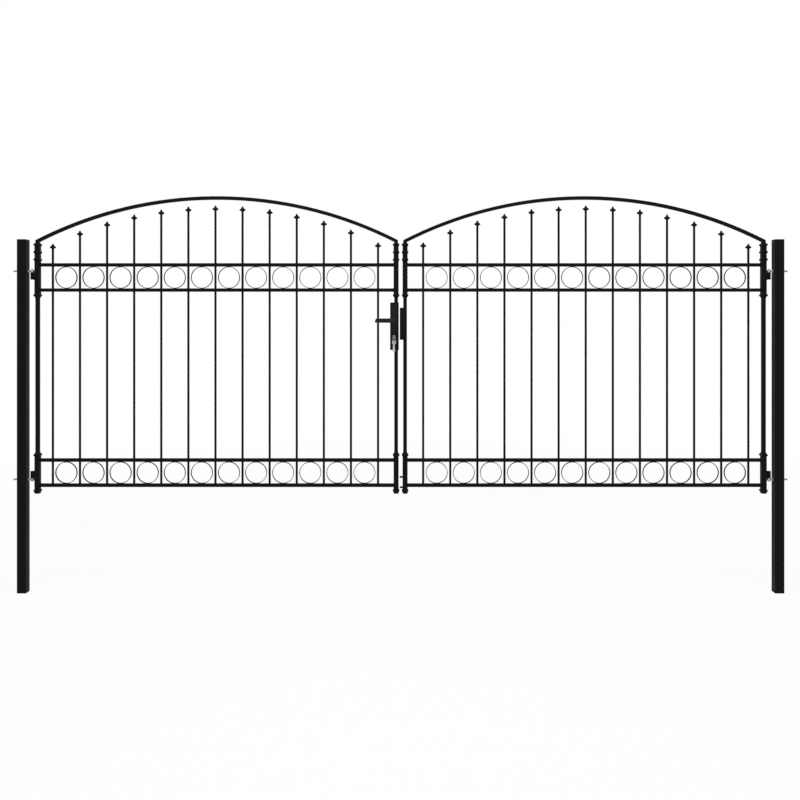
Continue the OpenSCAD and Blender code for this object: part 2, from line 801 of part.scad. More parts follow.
module right_hinge_barrels() color(coat) other_side() hinge_barrels();
module lock_case() color(coat) case_body();
module lock_bolts() color(zinc) drawn_bolts();
module lock_cylinder() color(nickel) profile_cylinder();
module lock_keys() color(nickel) keys();
module lever_handles() color(plastic) lever_pair();
module lock_keeper() color(coat) keeper();
module stop_lugs() color(coat) lugs();

module lock_plates() {
    color(plastic) {
        lock_plate();
        mirror([0, 1, 0]) lock_plate();
    }
}

left_post();
right_post();
left_post_cap();
right_post_cap();
left_eye_bolts();
right_eye_bolts();
left_hinge_nuts();
right_hinge_nuts();
left_hinge_stile();
right_hinge_stile();
left_meeting_stile();
right_meeting_stile();
left_arch();
right_arch();
left_top_rail();
right_top_rail();
left_upper_ring_rail();
right_upper_ring_rail();
left_lower_ring_rail();
right_lower_ring_rail();
left_bottom_rail();
right_bottom_rail();
left_bars();
right_bars();
left_spear_tips();
right_spear_tips();
left_upper_rings();
right_upper_rings();
left_lower_rings();
right_lower_rings();
left_hinge_sleeves();
right_hinge_sleeves();
left_meeting_sleeves();
right_meeting_sleeves();
left_hinge_barrels();
right_hinge_barrels();
lock_case();
lock_plates();
lock_bolts();
lock_cylinder();
lock_keys();
lever_handles();
lock_keeper();
stop_lugs();
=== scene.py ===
"""Arched double gate of black powder-coated steel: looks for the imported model."""
import math

import bmesh
import bpy
from mathutils import Matrix, Vector


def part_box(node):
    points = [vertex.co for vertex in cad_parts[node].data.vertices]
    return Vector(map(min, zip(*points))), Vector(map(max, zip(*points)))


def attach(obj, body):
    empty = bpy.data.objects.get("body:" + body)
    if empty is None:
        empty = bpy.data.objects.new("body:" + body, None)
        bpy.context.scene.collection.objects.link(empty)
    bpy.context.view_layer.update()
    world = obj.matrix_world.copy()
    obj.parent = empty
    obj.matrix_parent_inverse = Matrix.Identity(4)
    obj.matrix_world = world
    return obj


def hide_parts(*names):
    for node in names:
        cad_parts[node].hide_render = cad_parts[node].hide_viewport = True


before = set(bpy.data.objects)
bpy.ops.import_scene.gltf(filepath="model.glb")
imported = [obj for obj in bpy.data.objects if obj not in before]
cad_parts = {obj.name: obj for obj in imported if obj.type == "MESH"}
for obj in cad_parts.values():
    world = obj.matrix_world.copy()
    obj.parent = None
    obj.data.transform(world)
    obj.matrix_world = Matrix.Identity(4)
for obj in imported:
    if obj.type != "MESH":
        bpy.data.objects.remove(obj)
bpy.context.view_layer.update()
scene = bpy.context.scene


# Camera
# The photograph looks square on at the gate from a little under head height, so upright lines stay
# upright. The frame is lowered by a small shift, because the gate stands low under the eye line.
photo_size_px = 800
middle_px = 400.6
eye_line_px = 327
focal_length_px = 897.2
sensor_mm = 36
distance_from_posts = 4.79
eye_height = 1.4228

left_post_low, left_post_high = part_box("left_post")
right_post_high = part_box("right_post")[1]
gate_mid_x = (left_post_low.x + right_post_high.x) / 2

camera_data = bpy.data.cameras.new("camera")
camera_data.sensor_width = sensor_mm
camera_data.lens = sensor_mm * focal_length_px / photo_size_px
camera_data.shift_x = (photo_size_px / 2 - middle_px) / photo_size_px
camera_data.shift_y = (eye_line_px - photo_size_px / 2) / photo_size_px
camera = bpy.data.objects.new("camera", camera_data)
camera.location = (gate_mid_x, left_post_low.y - distance_from_posts, eye_height)
camera.rotation_euler = (math.pi / 2, 0, 0)
scene.collection.objects.link(camera)
scene.camera = camera


# Floor and studio light
# A pale seamless floor in a plain white surround, which the satin paint and the plated parts mirror.
# The floor fades into the surround away from the gate, and a soft box over the front models the bars.
floor_colour = "F3F3F1"
surround_colour = "FFFFFF"
surround_strength = 0.7
floor_reach = 30.0
fade_start = 3.0
fade_end = 7.0
glow_near = 0.9
glow_far = 1.0
soft_box_ahead = 2.0
soft_box_height = 5.0
soft_box_width = 5.0
soft_box_depth = 2.0
soft_box_watts = 120


def linear(hex_colour):
    """An sRGB hex colour as linear red, green, blue and alpha."""
    parts = [int(hex_colour[i:i + 2], 16) / 255 for i in (0, 2, 4)]
    return [c / 12.92 if c <= 0.04045 else ((c + 0.055) / 1.055) ** 2.4 for c in parts] + [1.0]


def add(tree, kind, inputs=(), **settings):
    """Adds a node, sets its settings, and links or sets its inputs."""
    made = tree.nodes.new(kind)
    for key, value in settings.items():
        setattr(made, key, value)
    for key, value in dict(inputs).items():
        if isinstance(value, bpy.types.NodeSocket):
            tree.links.new(value, made.inputs[key])
        else:
            made.inputs[key].default_value = value
    return made


def seen_ray(tree):
    """1 for a ray that shows the background: straight to the camera, in a reflection or through glass."""
    path = add(tree, "ShaderNodeLightPath").outputs
    seen = path["Is Camera Ray"]
    for kind in ("Is Glossy Ray", "Is Transmission Ray"):
        seen = add(tree, "ShaderNodeMath", {0: seen, 1: path[kind]}, operation="MAXIMUM").outputs[0]
    return seen


def new_material(name):
    """A material without nodes, and its node tree."""
    made = bpy.data.materials.new(name)
    made.use_nodes = True
    made.node_tree.nodes.clear()
    return made, made.node_tree


world = bpy.data.worlds.new("white surround")
world.use_nodes = True
scene.world = world
tree = world.node_tree
tree.nodes.clear()
strength = add(tree, "ShaderNodeMapRange", {
    "Value": seen_ray(tree), "To Min": surround_strength, "To Max": 1.0})
surround = add(tree, "ShaderNodeBackground", {
    "Color": linear(surround_colour), "Strength": strength.outputs[0]})
add(tree, "ShaderNodeOutputWorld", {"Surface": surround.outputs[0]})

floor_material, tree = new_material("pale_studio_floor")
matt = add(tree, "ShaderNodeBsdfDiffuse", {"Color": linear(floor_colour)})
glow = add(tree, "ShaderNodeEmission", {"Color": linear(surround_colour), "Strength": 1.0})
place = add(tree, "ShaderNodeTexCoord").outputs["Object"]
away = add(tree, "ShaderNodeVectorMath", {0: place, 1: (gate_mid_x, 0, 0)}, operation="DISTANCE")
fade = add(tree, "ShaderNodeMapRange", {
    "Value": away.outputs["Value"], "From Min": fade_start, "From Max": fade_end,
    "To Min": glow_near, "To Max": glow_far})
share = add(tree, "ShaderNodeMath", {0: seen_ray(tree), 1: fade.outputs[0]}, operation="MULTIPLY")
mixed = add(tree, "ShaderNodeMixShader", {0: share.outputs[0], 1: matt.outputs[0], 2: glow.outputs[0]})
add(tree, "ShaderNodeOutputMaterial", {"Surface": mixed.outputs[0]})

floor_mesh = bpy.data.meshes.new("floor")
corners = [(gate_mid_x + x * floor_reach, y * floor_reach, 0)
           for x, y in ((-1, -1), (1, -1), (1, 1), (-1, 1))]
floor_mesh.from_pydata(corners, [], [(0, 1, 2, 3)])
floor_mesh.materials.append(floor_material)
floor = bpy.data.objects.new("floor", floor_mesh)
scene.collection.objects.link(floor)

lamp = bpy.data.lights.new("overhead soft box", "AREA")
lamp.shape = "RECTANGLE"
lamp.size = soft_box_width
lamp.size_y = soft_box_depth
lamp.energy = soft_box_watts
soft_box = bpy.data.objects.new("overhead soft box", lamp)
soft_box_place = Vector((gate_mid_x, -soft_box_ahead, soft_box_height))
gate_middle = Vector((gate_mid_x, 0, left_post_high.z / 2))
soft_box.location = soft_box_place
soft_box.rotation_euler = (gate_middle - soft_box_place).to_track_quat("-Z", "Y").to_euler()
scene.collection.objects.link(soft_box)

scene.view_settings.view_transform = "Standard"


# Posts
# Square steel tubes, cold rolled and welded, that stand in the ground by their lowest half metre.
# They are powder coated satin black, like all the gate's own steel.
MM = 0.001
SIDES = ("left", "right")
coat_light = "101010"
coat_dark = "080808"
coat_roughness_low = 0.53
coat_roughness_high = 0.64
coat_shine = 0.075
peel_size = 1.8 * MM
peel_depth = 0.12 * MM
peel_strength = 0.12
film_patch = 160 * MM

# Most of a noise pattern lies between these two values.
noise_low = 0.3
noise_high = 0.7

# Baked powder flows into a soft even sheen with a faint orange peel. Where the film is thicker, it is a
# shade paler and duller.
powder_coat, tree = new_material("satin_black_powder_coat")
place = add(tree, "ShaderNodeTexCoord").outputs["Object"]
film = add(tree, "ShaderNodeTexNoise", {
    "Vector": place, "Scale": 1 / film_patch, "Detail": 3.0}).outputs["Fac"]
peel = add(tree, "ShaderNodeTexNoise", {
    "Vector": place, "Scale": 1 / peel_size, "Detail": 2.0}).outputs["Fac"]
colour = add(tree, "ShaderNodeMix", {
    0: film, 6: linear(coat_dark), 7: linear(coat_light)}, data_type="RGBA")
gloss = add(tree, "ShaderNodeMapRange", {
    "Value": film, "From Min": noise_low, "From Max": noise_high,
    "To Min": coat_roughness_low, "To Max": coat_roughness_high})
relief = add(tree, "ShaderNodeBump", {"Height": peel, "Strength": peel_strength, "Distance": peel_depth})
coat = add(tree, "ShaderNodeBsdfPrincipled", {
    "Base Color": colour.outputs[2], "Roughness": gloss.outputs[0], "Normal": relief.outputs[0],
    "Specular IOR Level": coat_shine})
add(tree, "ShaderNodeOutputMaterial", {"Surface": coat.outputs[0]})


def paint(node, material):
    """Gives a CAD node its finish."""
    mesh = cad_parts[node].data
    mesh.materials.clear()
    mesh.materials.append(material)


for side in SIDES:
    paint(side + "_post", powder_coat)


# Post caps
# Flat caps of moulded plastic with a plug, pressed into the tops of the posts to keep the rain out.
# The mould's spark-eroded face leaves a fine even grain, and the edges are a little rounded.
cap_edge = 1.0 * MM
cap_colour = "0C0C0C"
cap_roughness = 0.55
cap_shine = 0.12
grain_size = 0.7 * MM
grain_depth = 0.1 * MM
grain_strength = 0.2
gloss_patch = 25 * MM
gloss_spread = 0.06
patch_lift = 1.8
merge_distance = 0.005 * MM
flat_angle = math.radians(1)
edge_angle = math.radians(40)
shade_angle = math.radians(35)


def moulded_plastic(name, hex_colour, roughness, shine):
    """Black plastic as it comes from a spark-eroded mould: an even grain with slightly uneven gloss."""
    made, tree = new_material(name)
    place = add(tree, "ShaderNodeTexCoord").outputs["Object"]
    spark = add(tree, "ShaderNodeTexVoronoi", {
        "Vector": place, "Scale": 1 / grain_size}).outputs["Distance"]
    cloud = add(tree, "ShaderNodeTexNoise", {
        "Vector": place, "Scale": 1 / gloss_patch, "Detail": 3.0}).outputs["Fac"]
    pale = [c * patch_lift for c in linear(hex_colour)[:3]] + [1.0]
    colour = add(tree, "ShaderNodeMix", {0: cloud, 6: linear(hex_colour), 7: pale}, data_type="RGBA")
    gloss = add(tree, "ShaderNodeMapRange", {
        "Value": cloud, "To Min": roughness - gloss_spread, "To Max": roughness + gloss_spread})
    relief = add(tree, "ShaderNodeBump", {
        "Height": spark, "Strength": grain_strength, "Distance": grain_depth})
    body = add(tree, "ShaderNodeBsdfPrincipled", {
        "Base Color": colour.outputs[2], "Roughness": gloss.outputs[0], "Normal": relief.outputs[0],
        "Specular IOR Level": shine})
    add(tree, "ShaderNodeOutputMaterial", {"Surface": body.outputs[0]})
    return made


def softened(node, width):
    """A copy of a CAD node's mesh with its sharp edges rounded."""
    made = bmesh.new()
    made.from_mesh(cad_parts[node].data)
    bmesh.ops.remove_doubles(made, verts=made.verts, dist=merge_distance)
    bmesh.ops.dissolve_limit(made, angle_limit=flat_angle, verts=made.verts, edges=made.edges)
    sharp = [e for e in made.edges if len(e.link_faces) == 2 and e.calc_face_angle(0) > edge_angle]
    bmesh.ops.bevel(made, geom=sharp, offset=width, offset_type="OFFSET", segments=2, profile=0.5,
                    affect="EDGES", clamp_overlap=True)
    mesh = bpy.data.meshes.new(node + "_soft")
    made.to_mesh(mesh)
    made.free()
    mesh.shade_smooth()
    mesh.set_sharp_from_angle(angle=shade_angle)
    return mesh


def finished(name, mesh, material, body, slot, *replaced):
    """Puts a mesh in the scene with its finish, on its body and in place of its CAD nodes."""
    made = bpy.data.objects.new(name, mesh)
    scene.collection.objects.link(made)
    mesh.materials.clear()
    mesh.materials.append(material)
    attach(made, body)
    if replaced:
        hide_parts(*replaced)


cap_plastic = moulded_plastic("moulded_black_plastic", cap_colour, cap_roughness, cap_shine)
for side in SIDES:
    node = side + "_post_cap"
    finished(node + "_moulded", softened(node, cap_edge), cap_plastic, "posts", "black_plastic", node)


# Eye bolts
# Forged steel bolts through the posts, with an eye for the hinge pin and an M10 thread, zinc plated.
# A nut on each face of the post holds the bolt and sets how far the eye stands out.
eye_thickness = 13 * MM
pin_hole_r = 5.25 * MM
forged_edge = 1.6 * MM
eye_steps = 48
shank_r = 5 * MM
root_sunk = 3 * MM
root_flare = 1.2 * MM
face_flare = 0.4 * MM
flare_run = 1 * MM
end_bevel = 1.2 * MM
end_drop = 1.0 * MM
thread_pitch = 1.5 * MM
thread_depth = 0.75 * MM
thread_clear = 0.6 * MM
coil_steps = 24
zinc_colour = "C2C3C4"
zinc_stain = "9FA0A1"
zinc_roughness_low = 0.22
zinc_roughness_high = 0.42
stain_size = 9 * MM
pit_size = 0.5 * MM
pit_depth = 0.05 * MM
pit_strength = 0.15

AXIS_X = Vector((1, 0, 0))
AXIS_Y = Vector((0, 1, 0))
AXIS_Z = Vector((0, 0, 1))

# The direction along X from each post to the middle of the gate.
INWARD = {"left": 1, "right": -1}

# Bright zinc is a cool mirror, with a greyer and duller bloom in stains and fine pits from the bath.
zinc_plate, tree = new_material("bright_zinc_plate")
place = add(tree, "ShaderNodeTexCoord").outputs["Object"]
stain = add(tree, "ShaderNodeTexNoise", {
    "Vector": place, "Scale": 1 / stain_size, "Detail": 4.0}).outputs["Fac"]
pits = add(tree, "ShaderNodeTexNoise", {
    "Vector": place, "Scale": 1 / pit_size, "Detail": 2.0}).outputs["Fac"]
colour = add(tree, "ShaderNodeMix", {
    0: stain, 6: linear(zinc_colour), 7: linear(zinc_stain)}, data_type="RGBA")
gloss = add(tree, "ShaderNodeMapRange", {
    "Value": stain, "To Min": zinc_roughness_low, "To Max": zinc_roughness_high})
relief = add(tree, "ShaderNodeBump", {"Height": pits, "Strength": pit_strength, "Distance": pit_depth})
plate = add(tree, "ShaderNodeBsdfPrincipled", {
    "Base Color": colour.outputs[2], "Roughness": gloss.outputs[0], "Normal": relief.outputs[0],
    "Metallic": 1.0})
add(tree, "ShaderNodeOutputMaterial", {"Surface": plate.outputs[0]})


def full_turn(count):
    """Angles at even steps round a full turn."""
    return [2 * math.pi * k / count for k in range(count)]


def arc(centre_w, centre_z, radius, start, end, steps=8):
    """Points of a circle's arc, from start to end in degrees, as (half width, height)."""
    angles = [math.radians(start + (end - start) * i / steps) for i in range(steps + 1)]
    return [(centre_w + radius * math.cos(a), centre_z + radius * math.sin(a)) for a in angles]


def ring(centre, across, along, half_across, half_along, power=2.0, count=28):
    """Points of a closed outline: an ellipse at power 2, squarer with a higher power."""
    points = []
    for a in full_turn(count):
        c = math.cos(a)
        s = math.sin(a)
        u = math.copysign(abs(c) ** (2 / power), c) * half_across
        v = math.copysign(abs(s) ** (2 / power), s) * half_along
        points.append(Vector(centre) + across * u + along * v)
    return points


def loft(rings, closed=False):
    """Points and faces of a skin over rings of equally many points, with its ends closed or joined."""
    count = len(rings[0])
    points = [p for outline in rings for p in outline]
    faces = []
    for i in range(len(rings) if closed else len(rings) - 1):
        a = i * count
        b = (i + 1) % len(rings) * count
        faces += [(a + j, a + (j + 1) % count, b + (j + 1) % count, b + j) for j in range(count)]
    if not closed:
        faces += [tuple(reversed(range(count))), tuple(range(len(points) - count, len(points)))]
    return points, faces


def solid_mesh(name, parts, grown=()):
    """One mesh from lofted parts and from meshes that nodes have grown."""
    made = bmesh.new()
    for points, faces in parts:
        corners = [made.verts.new(p) for p in points]
        for face in faces:
            made.faces.new([corners[i] for i in face])
    bmesh.ops.recalc_face_normals(made, faces=made.faces)
    for mesh in grown:
        made.from_mesh(mesh)
    mesh = bpy.data.meshes.new(name)
    made.to_mesh(mesh)
    made.free()
    mesh.shade_smooth()
    mesh.set_sharp_from_angle(angle=edge_angle)
    return mesh


def new_tree(name, **sockets):
    """A node tree with a geometry input and output and the named inputs."""
    made = bpy.data.node_groups.new(name, "GeometryNodeTree")
    made.interface.new_socket("Geometry", in_out="INPUT", socket_type="NodeSocketGeometry")
    for key, kind in sockets.items():
        made.interface.new_socket(key, in_out="INPUT", socket_type="NodeSocket" + kind)
    made.interface.new_socket("Geometry", in_out="OUTPUT", socket_type="NodeSocketGeometry")
    return made, add(made, "NodeGroupInput").outputs


def placed(tree, given, piece):
    """Ends a tree: the piece at every point, turned and coated, as one plain mesh."""
    copies = add(tree, "GeometryNodeInstanceOnPoints", {
        "Points": given["Geometry"], "Instance": piece, "Rotation": given["Turn"]})
    real = add(tree, "GeometryNodeRealizeInstances", {"Geometry": copies.outputs[0]})
    coated = add(tree, "GeometryNodeSetMaterial", {
        "Geometry": real.outputs[0], "Material": given["Coating"]})
    add(tree, "NodeGroupOutput", {"Geometry": coated.outputs[0]})


def grow(name, tree, points, **inputs):
    """Runs a tree on the points and returns its result as a plain mesh."""
    seeds = bpy.data.meshes.new(name)
    seeds.from_pydata([tuple(p) for p in points], [], [])
    carrier = bpy.data.objects.new(name, seeds)
    scene.collection.objects.link(carrier)
    modifier = carrier.modifiers.new("nodes", "NODES")
    modifier.node_group = tree
    for item in tree.interface.items_tree:
        if item.name in inputs:
            modifier[item.identifier] = inputs[item.name]
    carrier.update_tag()
    graph = bpy.context.evaluated_depsgraph_get()
    graph.update()
    mesh = bpy.data.meshes.new_from_object(carrier.evaluated_get(graph))
    bpy.data.objects.remove(carrier)
    return mesh


coil_tree, given = new_tree("coil of wire", Turns="Float", Radius="Float", Rise="Float", Wire="Float",
                            Sides="Int", Turn="Rotation", Coating="Material")
helix = add(coil_tree, "GeometryNodeCurveSpiral", {
    "Resolution": coil_steps, "Rotations": given["Turns"], "Start Radius": given["Radius"],
    "End Radius": given["Radius"], "Height": given["Rise"]})
wire = add(coil_tree, "GeometryNodeCurvePrimitiveCircle", {
    "Resolution": given["Sides"], "Radius": given["Wire"]})
swept = add(coil_tree, "GeometryNodeCurveToMesh", {
    "Curve": helix.outputs[0], "Profile Curve": wire.outputs[0], "Fill Caps": True})
placed(coil_tree, given, swept.outputs[0])

low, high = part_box("left_eye_bolts")
eye_r = (high.y - low.y) / 2
hinge_heights = (low.z + eye_thickness / 2, high.z - eye_thickness / 2)
core_r = shank_r - thread_depth
underside = -eye_thickness / 2
section = [(pin_hole_r, underside + forged_edge / 2), (pin_hole_r + forged_edge / 2, underside)]
section += arc(eye_r - forged_edge, underside + forged_edge, forged_edge, -90, 0, 4)
section += [(r, -h) for r, h in reversed(section)]
for side in SIDES:
    way = INWARD[side]
    low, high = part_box(side + "_eye_bolts")
    post_low, post_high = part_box(side + "_post")
    end_x, tip_x = (low.x, high.x)[::way]
    outer_x, inner_x = (post_low.x, post_high.x)[::way]
    pin_x = tip_x - way * eye_r
    eye_x = pin_x - way * eye_r
    shank = (
        (eye_x + way * root_sunk, shank_r + root_flare),
        (eye_x, shank_r + face_flare),
        (eye_x - way * flare_run, core_r),
        (end_x + way * end_bevel, core_r),
        (end_x, core_r - end_drop),
    )
    parts = []
    for z in hinge_heights:
        parts.append(loft([[Vector((pin_x + r * math.cos(a), r * math.sin(a), z + h)) for r, h in section]
                           for a in full_turn(eye_steps)], closed=True))
        parts.append(loft([ring((x, 0, z), AXIS_Y, AXIS_Z, r, r) for x, r in shank]))
    threads = []
    for start, end in ((end_x + way * thread_clear, outer_x), (inner_x, eye_x - way * thread_clear)):
        length = abs(end - start)
        threads.append(grow(
            "thread", coil_tree, [(min(start, end), 0, z) for z in hinge_heights],
            Turns=length / thread_pitch, Radius=core_r, Rise=length, Wire=thread_depth, Sides=4,
            Turn=(0, math.pi / 2, 0), Coating=zinc_plate))
    finished(side + "_eye_bolts_forged", solid_mesh("eye bolts", parts, threads), zinc_plate,
             "posts", "zinc_plate", side + "_eye_bolts")


# Hinge nuts
# Plain hexagon nuts of zinc-plated steel, one run up against each face of the post.
# Their corners are turned off at an angle on both sides, which leaves the curved edges on the flats.
chamfer_share = 0.96
chamfer_angle = math.radians(30)
bore_r = 5.1 * MM
bore_bevel = 0.5 * MM
nut_steps = 60

repeat_tree, given = new_tree("piece at points", Piece="Object", Turn="Rotation", Coating="Material")
shape = add(repeat_tree, "GeometryNodeObjectInfo", {"Object": given["Piece"]})
placed(repeat_tree, given, shape.outputs["Geometry"])


def repeated(name, mesh, points, material, turn=(0, 0, 0)):
    """The mesh at every point, as one plain mesh."""
    pattern = bpy.data.objects.new(name + "_pattern", mesh)
    scene.collection.objects.link(pattern)
    made = grow(name, repeat_tree, points, Piece=pattern, Turn=turn, Coating=material)
    bpy.data.objects.remove(pattern)
    made.shade_smooth()
    made.set_sharp_from_angle(angle=edge_angle)
    return made


turns = full_turn(nut_steps)
for side in SIDES:
    low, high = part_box(side + "_hinge_nuts")
    post_low, post_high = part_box(side + "_post")
    flat_r = (high.y - low.y) / 2
    nut_t = post_low.x - low.x
    round_r = flat_r * chamfer_share
    hexagon = [flat_r / math.cos((a % (math.pi / 3)) - math.pi / 6) for a in turns]
    face = [[(r, drop)] * nut_steps
            for r, drop in ((bore_r, bore_bevel), (bore_r + bore_bevel, 0.0), (round_r, 0.0))]
    face.append([(r, max(r - round_r, 0) * math.tan(chamfer_angle)) for r in hexagon])
    outlines = []
    for end, rows in ((-1, face), (1, reversed(face))):
        for row in rows:
            outlines.append([Vector((end * (nut_t / 2 - drop), r * math.sin(a), r * math.cos(a)))
                             for a, (r, drop) in zip(turns, row)])
    nut = solid_mesh("nut", [loft(outlines, closed=True)])
    spots = [(x, 0, z) for x in (post_low.x - nut_t / 2, post_high.x + nut_t / 2) for z in hinge_heights]
    finished(side + "_hinge_nuts_turned", repeated("nuts", nut, spots, zinc_plate), zinc_plate,
             "posts", "zinc_plate", side + "_hinge_nuts")


# Leaf frames, rails and bars
# Square steel tubes cut to length, the arch rolled to its curve and mitred on the stiles, and round bars
# through holes punched in the rails. All of it is welded up and then powder coated in one piece.
RAILS = ("top_rail", "upper_ring_rail", "lower_ring_rail", "bottom_rail")
for side in SIDES:
    for piece in ("hinge_stile", "meeting_stile", "arch", *RAILS, "bars"):
        paint(side + "_" + piece, powder_coat)


# Spear tips
# Small malleable castings welded on the bars' ends, with a blunt hollow-sided point and two round arms.
# The mould leaves them soft at every edge, and the coat rounds them further.
bars_per_leaf = 13
tip_neck = 3 * MM
arm_r = 5 * MM
arm_lift = 0.5 * MM
nose = 4 * MM
point_r = 5.5 * MM
under_arc = (170, 100)
arm_arc = (-70, 60)
hollow_arc = (245, 188)
point_arc = (40, 86)
tip_fullness = 0.5 * MM
tip_squareness = 2.2
tip_steps = 24

low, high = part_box("left_bars")
bar_r = (high.y - low.y) / 2
bar_tops = {}
for side in SIDES:
    low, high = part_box(side + "_bars")
    pitch = (high.x - low.x - 2 * bar_r) / (bars_per_leaf - 1)
    corners = [v.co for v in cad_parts[side + "_bars"].data.vertices]
    bar_tops[side] = []
    for i in range(bars_per_leaf):
        x = low.x + bar_r + i * pitch
        bar_tops[side].append(Vector((x, 0, max(c.z for c in corners if abs(c.x - x) < pitch / 2))))

    tip_low, tip_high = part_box(side + "_spear_tips")
    tip_w = tip_high.x - tip_low.x - (bars_per_leaf - 1) * pitch
    tip_t = tip_high.y - tip_low.y
    tip_h = tip_high.z - max(top.z for top in bar_tops[side])
    arm_x = tip_w / 2 - arm_r
    under_r = arm_x - bar_r
    arm_z = tip_neck + under_r + arm_r + arm_lift
    hollow_r = tip_w / 2
    profile = [(bar_r, 0), (bar_r, tip_neck)]
    profile += arc(arm_x, tip_neck, under_r, *under_arc)
    profile += arc(arm_x, arm_z, arm_r, *arm_arc, 12)
    profile += arc(nose + hollow_r, tip_h, hollow_r, *hollow_arc, 10)
    profile += arc(0, tip_h - point_r, point_r, *point_arc, 5)
    outlines = []
    for w, z in profile:
        if z < arm_z:
            deep = bar_r + (tip_t / 2 - bar_r) * z / arm_z
        else:
            deep = tip_t / 2 - (tip_t / 2 - nose / 2) * (z - arm_z) / (tip_h - arm_z)
        deep = min(deep, w + tip_fullness)
        outlines.append(ring((0, 0, z), AXIS_X, AXIS_Y, w, deep, tip_squareness, tip_steps))
    tip = solid_mesh("spear tip", [loft(outlines)])
    finished(side + "_spear_tips_cast", repeated("tips", tip, bar_tops[side], powder_coat), powder_coat,
             side + "_leaf", "black_powder_coat", side + "_spear_tips")


# Rings
# Flat steel strip rolled into rings and butt welded. They stand between the rails of each band, held by
# a tack of weld at the top and bottom on both sides. The tacks are uneven, as they are laid by hand.
tack_size = Vector((5.0, 1.6, 1.3)) * MM
tack_least = (0.75, 0.9, 0.8)
tack_most = (1.2, 1.1, 1.15)
tack_seed = 11
tack_offset = 4.6 * MM
lumps_per_radius = 1.3

tack_tree, given = new_tree("tack welds", Size="Vector", Turn="Rotation", Coating="Material")
blob = add(tack_tree, "GeometryNodeMeshIcoSphere", {"Radius": 1.0, "Subdivisions": 3})
lumps = add(tack_tree, "ShaderNodeTexNoise", {"Scale": lumps_per_radius, "Detail": 1.0})
centred = add(tack_tree, "ShaderNodeVectorMath", {
    0: lumps.outputs["Color"], 1: (0.5, 0.5, 0.5)}, operation="SUBTRACT")
uneven = add(tack_tree, "GeometryNodeSetPosition", {
    "Geometry": blob.outputs["Mesh"], "Offset": centred.outputs[0]})
sized = add(tack_tree, "GeometryNodeTransform", {"Geometry": uneven.outputs[0], "Scale": given["Size"]})
change = add(tack_tree, "FunctionNodeRandomValue", {
    0: tack_least, 1: tack_most, "Seed": tack_seed}, data_type="FLOAT_VECTOR")
copies = add(tack_tree, "GeometryNodeInstanceOnPoints", {
    "Points": given["Geometry"], "Instance": sized.outputs[0], "Rotation": given["Turn"],
    "Scale": change.outputs[0]})
real = add(tack_tree, "GeometryNodeRealizeInstances", {"Geometry": copies.outputs[0]})
smooth = add(tack_tree, "GeometryNodeSetShadeSmooth", {"Geometry": real.outputs[0]})
coated = add(tack_tree, "GeometryNodeSetMaterial", {
    "Geometry": smooth.outputs[0], "Material": given["Coating"]})
add(tack_tree, "NodeGroupOutput", {"Geometry": coated.outputs[0]})

for side in SIDES:
    spots = []
    for band, rails in (("upper_rings", RAILS[:2]), ("lower_rings", RAILS[2:])):
        paint(side + "_" + band, powder_coat)
        above, below = [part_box(side + "_" + rail) for rail in rails]
        for left_bar, right_bar in zip(bar_tops[side], bar_tops[side][1:]):
            x = (left_bar.x + right_bar.x) / 2
            spots += [(x, y, z) for z in (above[0].z, below[1].z) for y in (-tack_offset, tack_offset)]
    tacks = grow("tacks", tack_tree, spots, Size=tack_size, Coating=powder_coat)
    finished(side + "_ring_tacks", tacks, powder_coat, side + "_leaf", "black_powder_coat")


# Sleeves
# Square castings with moulded collars, pushed over the ends of the stiles and welded on. They thicken
# the stiles where the rails and hinges join, and the lower ones close the stiles' feet.
collar_proud = 4.5 * MM
collar_height = 13 * MM
collar_from_rail = 28 * MM
sleeve_half = 13.5 * MM
sleeve_overrun = 42 * MM
sleeve_rim = 2 * MM
sleeve_taper = 7 * MM
sleeve_foot = 4 * MM
sleeve_gap = 0.1 * MM
lip_wall = 0.8 * MM
rim_bevel = 0.6 * MM
foot_round = 2 * MM
cast_corner = 1.8 * MM


def square_ring(x, z, half, corner):
    """Points of a square outline with rounded corners."""
    points = []
    for k, (sx, sy) in enumerate(((1, 1), (-1, 1), (-1, -1), (1, -1))):
        for step in range(5):
            a = math.pi / 2 * (k + step / 4)
            points.append(Vector((x + sx * (half - corner) + corner * math.cos(a),
                                  sy * (half - corner) + corner * math.sin(a), z)))
    return points


def collar_steps(z):
    """Half widths and heights over one collar, from its lower edge to its upper one."""
    collar_r = ((collar_height / 2) ** 2 + collar_proud ** 2) / (2 * collar_proud)
    reach = math.degrees(math.asin(collar_height / 2 / collar_r))
    return arc(sleeve_half + collar_proud - collar_r, z, collar_r, -reach, reach, 10)


